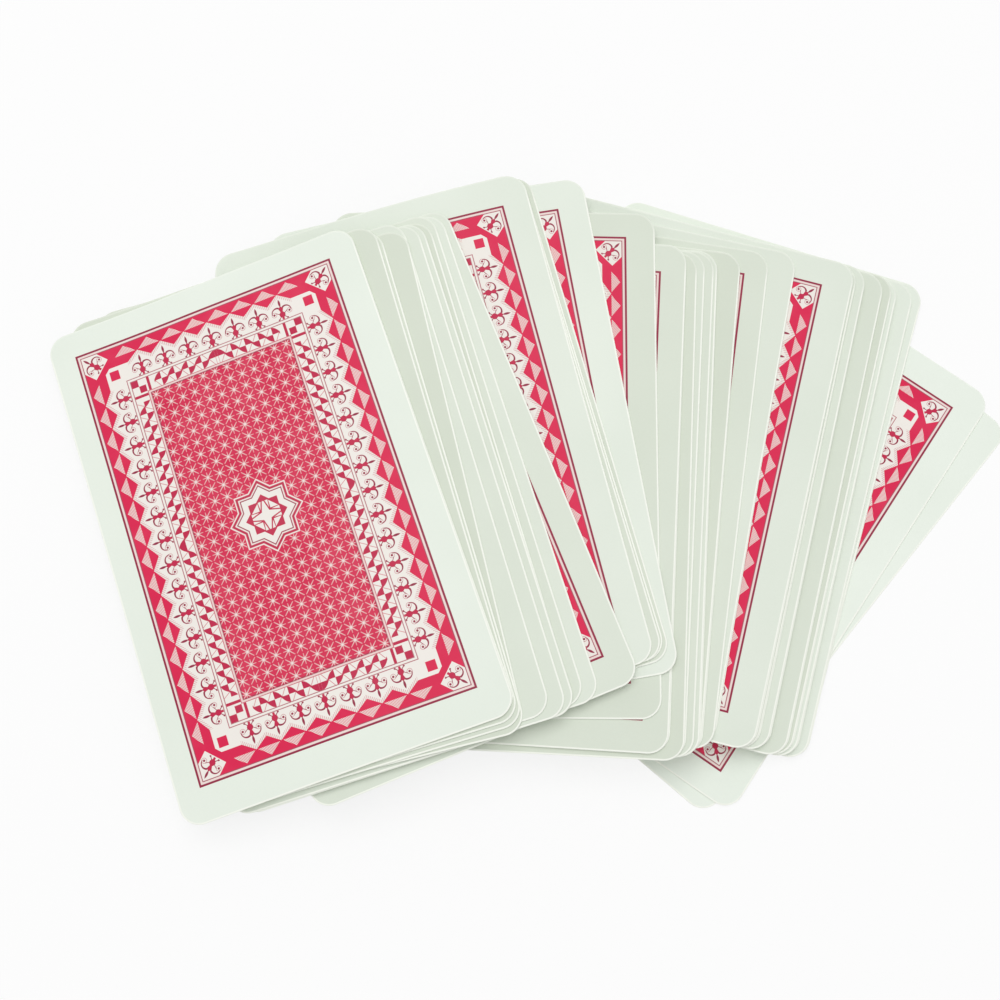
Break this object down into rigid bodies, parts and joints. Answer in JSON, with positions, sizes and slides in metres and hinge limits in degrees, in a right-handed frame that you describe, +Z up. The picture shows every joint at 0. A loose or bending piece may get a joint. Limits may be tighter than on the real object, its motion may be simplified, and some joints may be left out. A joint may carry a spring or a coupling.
{
  "type": "playing card deck",
  "caption": "Deck of playing cards fanned out face down: thin round-cornered cards with a crimson ornamental back, lying on one another, each free to be drawn out.",
  "frame": {"origin": "centre of the fan's box, on the table that it lies on", "axes": "+X along the fan, from the top card to the lowest one; +Y away from the player; +Z up from the table"},
  "size_m": [0.1688, 0.1118, 0.0138],
  "materials": {
    "coated_card": "satin coated card, crimson ornamental print on the back"
  },
  "bodies": {
    "jack_of_spades": {"jack_of_spades": "coated_card"},
    "eight_of_clubs": {"eight_of_clubs": "coated_card"},
    "three_of_spades": {"three_of_spades": "coated_card"},
    "king_of_hearts": {"king_of_hearts": "coated_card"},
    "ten_of_diamonds": {"ten_of_diamonds": "coated_card"},
    "five_of_hearts": {"five_of_hearts": "coated_card"},
    "two_of_diamonds": {"two_of_diamonds": "coated_card"},
    "ten_of_spades": {"ten_of_spades": "coated_card"},
    "seven_of_clubs": {"seven_of_clubs": "coated_card"},
    "two_of_spades": {"two_of_spades": "coated_card"},
    "queen_of_hearts": {"queen_of_hearts": "coated_card"},
    "nine_of_diamonds": {"nine_of_diamonds": "coated_card"},
    "four_of_hearts": {"four_of_hearts": "coated_card"},
    "ace_of_diamonds": {"ace_of_diamonds": "coated_card"},
    "nine_of_spades": {"nine_of_spades": "coated_card"},
    "six_of_clubs": {"six_of_clubs": "coated_card"},
    "ace_of_spades": {"ace_of_spades": "coated_card"},
    "jack_of_hearts": {"jack_of_hearts": "coated_card"},
    "eight_of_diamonds": {"eight_of_diamonds": "coated_card"},
    "three_of_hearts": {"three_of_hearts": "coated_card"},
    "king_of_clubs": {"king_of_clubs": "coated_card"},
    "eight_of_spades": {"eight_of_spades": "coated_card"},
    "five_of_clubs": {"five_of_clubs": "coated_card"},
    "joker_black": {"joker_black": "coated_card"},
    "ten_of_hearts": {"ten_of_hearts": "coated_card"},
    "seven_of_diamonds": {"seven_of_diamonds": "coated_card"},
    "two_of_hearts": {"two_of_hearts": "coated_card"},
    "queen_of_clubs": {"queen_of_clubs": "coated_card"},
    "seven_of_spades": {"seven_of_spades": "coated_card"},
    "four_of_clubs": {"four_of_clubs": "coated_card"},
    "joker_red": {"joker_red": "coated_card"},
    "nine_of_hearts": {"nine_of_hearts": "coated_card"},
    "six_of_diamonds": {"six_of_diamonds": "coated_card"},
    "ace_of_hearts": {"ace_of_hearts": "coated_card"},
    "jack_of_clubs": {"jack_of_clubs": "coated_card"},
    "six_of_spades": {"six_of_spades": "coated_card"},
    "three_of_clubs": {"three_of_clubs": "coated_card"},
    "king_of_diamonds": {"king_of_diamonds": "coated_card"},
    "eight_of_hearts": {"eight_of_hearts": "coated_card"},
    "five_of_diamonds": {"five_of_diamonds": "coated_card"},
    "king_of_spades": {"king_of_spades": "coated_card"},
    "ten_of_clubs": {"ten_of_clubs": "coated_card"},
    "five_of_spades": {"five_of_spades": "coated_card"},
    "two_of_clubs": {"two_of_clubs": "coated_card"},
    "queen_of_diamonds": {"queen_of_diamonds": "coated_card"},
    "seven_of_hearts": {"seven_of_hearts": "coated_card"},
    "four_of_diamonds": {"four_of_diamonds": "coated_card"},
    "queen_of_spades": {"queen_of_spades": "coated_card"},
    "nine_of_clubs": {"nine_of_clubs": "coated_card"},
    "four_of_spades": {"four_of_spades": "coated_card"},
    "ace_of_clubs": {"ace_of_clubs": "coated_card"},
    "jack_of_diamonds": {"jack_of_diamonds": "coated_card"},
    "six_of_hearts": {"six_of_hearts": "coated_card"},
    "three_of_diamonds": {"three_of_diamonds": "coated_card"}
  },
  "joints": [
    {"name": "draw_eight_of_clubs", "type": "slide", "parent": "jack_of_spades", "child": "eight_of_clubs", "axis": [0, -1, 0], "range_m": [0, 0.112]},
    {"name": "draw_three_of_spades", "type": "slide", "parent": "jack_of_spades", "child": "three_of_spades", "axis": [0, -1, 0], "range_m": [0, 0.112]},
    {"name": "draw_king_of_hearts", "type": "slide", "parent": "jack_of_spades", "child": "king_of_hearts", "axis": [0, -1, 0], "range_m": [0, 0.112]},
    {"name": "draw_ten_of_diamonds", "type": "slide", "parent": "jack_of_spades", "child": "ten_of_diamonds", "axis": [0, -1, 0], "range_m": [0, 0.112]},
    {"name": "draw_five_of_hearts", "type": "slide", "parent": "jack_of_spades", "child": "five_of_hearts", "axis": [0, -1, 0], "range_m": [0, 0.112]},
    {"name": "draw_two_of_diamonds", "type": "slide", "parent": "jack_of_spades", "child": "two_of_diamonds", "axis": [0, -1, 0], "range_m": [0, 0.112]},
    {"name": "draw_ten_of_spades", "type": "slide", "parent": "jack_of_spades", "child": "ten_of_spades", "axis": [0, -1, 0], "range_m": [0, 0.112]},
    {"name": "draw_seven_of_clubs", "type": "slide", "parent": "jack_of_spades", "child": "seven_of_clubs", "axis": [0, -1, 0], "range_m": [0, 0.112]},
    {"name": "draw_two_of_spades", "type": "slide", "parent": "jack_of_spades", "child": "two_of_spades", "axis": [0, -1, 0], "range_m": [0, 0.112]},
    {"name": "draw_queen_of_hearts", "type": "slide", "parent": "jack_of_spades", "child": "queen_of_hearts", "axis": [0, -1, 0], "range_m": [0, 0.112]},
    {"name": "draw_nine_of_diamonds", "type": "slide", "parent": "jack_of_spades", "child": "nine_of_diamonds", "axis": [0, -1, 0], "range_m": [0, 0.112]},
    {"name": "draw_four_of_hearts", "type": "slide", "parent": "jack_of_spades", "child": "four_of_hearts", "axis": [0, -1, 0], "range_m": [0, 0.112]},
    {"name": "draw_ace_of_diamonds", "type": "slide", "parent": "jack_of_spades", "child": "ace_of_diamonds", "axis": [0, -1, 0], "range_m": [0, 0.112]},
    {"name": "draw_nine_of_spades", "type": "slide", "parent": "jack_of_spades", "child": "nine_of_spades", "axis": [0, -1, 0], "range_m": [0, 0.112]},
    {"name": "draw_six_of_clubs", "type": "slide", "parent": "jack_of_spades", "child": "six_of_clubs", "axis": [0, -1, 0], "range_m": [0, 0.112]},
    {"name": "draw_ace_of_spades", "type": "slide", "parent": "jack_of_spades", "child": "ace_of_spades", "axis": [0, -1, 0], "range_m": [0, 0.112]},
    {"name": "draw_jack_of_hearts", "type": "slide", "parent": "jack_of_spades", "child": "jack_of_hearts", "axis": [0, -1, 0], "range_m": [0, 0.112]},
    {"name": "draw_eight_of_diamonds", "type": "slide", "parent": "jack_of_spades", "child": "eight_of_diamonds", "axis": [0, -1, 0], "range_m": [0, 0.112]},
    {"name": "draw_three_of_hearts", "type": "slide", "parent": "jack_of_spades", "child": "three_of_hearts", "axis": [0, -1, 0], "range_m": [0, 0.112]},
    {"name": "draw_king_of_clubs", "type": "slide", "parent": "jack_of_spades", "child": "king_of_clubs", "axis": [0, -1, 0], "range_m": [0, 0.112]},
    {"name": "draw_eight_of_spades", "type": "slide", "parent": "jack_of_spades", "child": "eight_of_spades", "axis": [0, -1, 0], "range_m": [0, 0.112]},
    {"name": "draw_five_of_clubs", "type": "slide", "parent": "jack_of_spades", "child": "five_of_clubs", "axis": [0, -1, 0], "range_m": [0, 0.112]},
    {"name": "draw_joker_black", "type": "slide", "parent": "jack_of_spades", "child": "joker_black", "axis": [0, -1, 0], "range_m": [0, 0.112]},
    {"name": "draw_ten_of_hearts", "type": "slide", "parent": "jack_of_spades", "child": "ten_of_hearts", "axis": [0, -1, 0], "range_m": [0, 0.112]},
    {"name": "draw_seven_of_diamonds", "type": "slide", "parent": "jack_of_spades", "child": "seven_of_diamonds", "axis": [0, -1, 0], "range_m": [0, 0.112]},
    {"name": "draw_two_of_hearts", "type": "slide", "parent": "jack_of_spades", "child": "two_of_hearts", "axis": [0, -1, 0], "range_m": [0, 0.112]},
    {"name": "draw_queen_of_clubs", "type": "slide", "parent": "jack_of_spades", "child": "queen_of_clubs", "axis": [0, -1, 0], "range_m": [0, 0.112]},
    {"name": "draw_seven_of_spades", "type": "slide", "parent": "jack_of_spades", "child": "seven_of_spades", "axis": [0, -1, 0], "range_m": [0, 0.112]},
    {"name": "draw_four_of_clubs", "type": "slide", "parent": "jack_of_spades", "child": "four_of_clubs", "axis": [0, -1, 0], "range_m": [0, 0.112]},
    {"name": "draw_joker_red", "type": "slide", "parent": "jack_of_spades", "child": "joker_red", "axis": [0, -1, 0], "range_m": [0, 0.112]},
    {"name": "draw_nine_of_hearts", "type": "slide", "parent": "jack_of_spades", "child": "nine_of_hearts", "axis": [0, -1, 0], "range_m": [0, 0.112]},
    {"name": "draw_six_of_diamonds", "type": "slide", "parent": "jack_of_spades", "child": "six_of_diamonds", "axis": [0, -1, 0], "range_m": [0, 0.112]},
    {"name": "draw_ace_of_hearts", "type": "slide", "parent": "jack_of_spades", "child": "ace_of_hearts", "axis": [0, -1, 0], "range_m": [0, 0.112]},
    {"name": "draw_jack_of_clubs", "type": "slide", "parent": "jack_of_spades", "child": "jack_of_clubs", "axis": [0, -1, 0], "range_m": [0, 0.112]},
    {"name": "draw_six_of_spades", "type": "slide", "parent": "jack_of_spades", "child": "six_of_spades", "axis": [0, -1, 0], "range_m": [0, 0.112]},
    {"name": "draw_three_of_clubs", "type": "slide", "parent": "jack_of_spades", "child": "three_of_clubs", "axis": [0, -1, 0], "range_m": [0, 0.112]},
    {"name": "draw_king_of_diamonds", "type": "slide", "parent": "jack_of_spades", "child": "king_of_diamonds", "axis": [0, -1, 0], "range_m": [0, 0.112]},
    {"name": "draw_eight_of_hearts", "type": "slide", "parent": "jack_of_spades", "child": "eight_of_hearts", "axis": [0, -1, 0], "range_m": [0, 0.112]},
    {"name": "draw_five_of_diamonds", "type": "slide", "parent": "jack_of_spades", "child": "five_of_diamonds", "axis": [0, -1, 0], "range_m": [0, 0.112]},
    {"name": "draw_king_of_spades", "type": "slide", "parent": "jack_of_spades", "child": "king_of_spades", "axis": [0, -1, 0], "range_m": [0, 0.112]},
    {"name": "draw_ten_of_clubs", "type": "slide", "parent": "jack_of_spades", "child": "ten_of_clubs", "axis": [0, -1, 0], "range_m": [0, 0.112]},
    {"name": "draw_five_of_spades", "type": "slide", "parent": "jack_of_spades", "child": "five_of_spades", "axis": [0, -1, 0], "range_m": [0, 0.112]},
    {"name": "draw_two_of_clubs", "type": "slide", "parent": "jack_of_spades", "child": "two_of_clubs", "axis": [0, -1, 0], "range_m": [0, 0.112]},
    {"name": "draw_queen_of_diamonds", "type": "slide", "parent": "jack_of_spades", "child": "queen_of_diamonds", "axis": [0, -1, 0], "range_m": [0, 0.112]},
    {"name": "draw_seven_of_hearts", "type": "slide", "parent": "jack_of_spades", "child": "seven_of_hearts", "axis": [0, -1, 0], "range_m": [0, 0.112]},
    {"name": "draw_four_of_diamonds", "type": "slide", "parent": "jack_of_spades", "child": "four_of_diamonds", "axis": [0, -1, 0], "range_m": [0, 0.112]},
    {"name": "draw_queen_of_spades", "type": "slide", "parent": "jack_of_spades", "child": "queen_of_spades", "axis": [0, -1, 0], "range_m": [0, 0.112]},
    {"name": "draw_nine_of_clubs", "type": "slide", "parent": "jack_of_spades", "child": "nine_of_clubs", "axis": [0, -1, 0], "range_m": [0, 0.112]},
    {"name": "draw_four_of_spades", "type": "slide", "parent": "jack_of_spades", "child": "four_of_spades", "axis": [0, -1, 0], "range_m": [0, 0.112]},
    {"name": "draw_ace_of_clubs", "type": "slide", "parent": "jack_of_spades", "child": "ace_of_clubs", "axis": [0, -1, 0], "range_m": [0, 0.112]},
    {"name": "draw_jack_of_diamonds", "type": "slide", "parent": "jack_of_spades", "child": "jack_of_diamonds", "axis": [0, -1, 0], "range_m": [0, 0.112]},
    {"name": "draw_six_of_hearts", "type": "slide", "parent": "jack_of_spades", "child": "six_of_hearts", "axis": [0, -1, 0], "range_m": [0, 0.112]},
    {"name": "draw_three_of_diamonds", "type": "slide", "parent": "jack_of_spades", "child": "three_of_diamonds", "axis": [0, -1, 0], "range_m": [0, 0.112]}
  ]
}
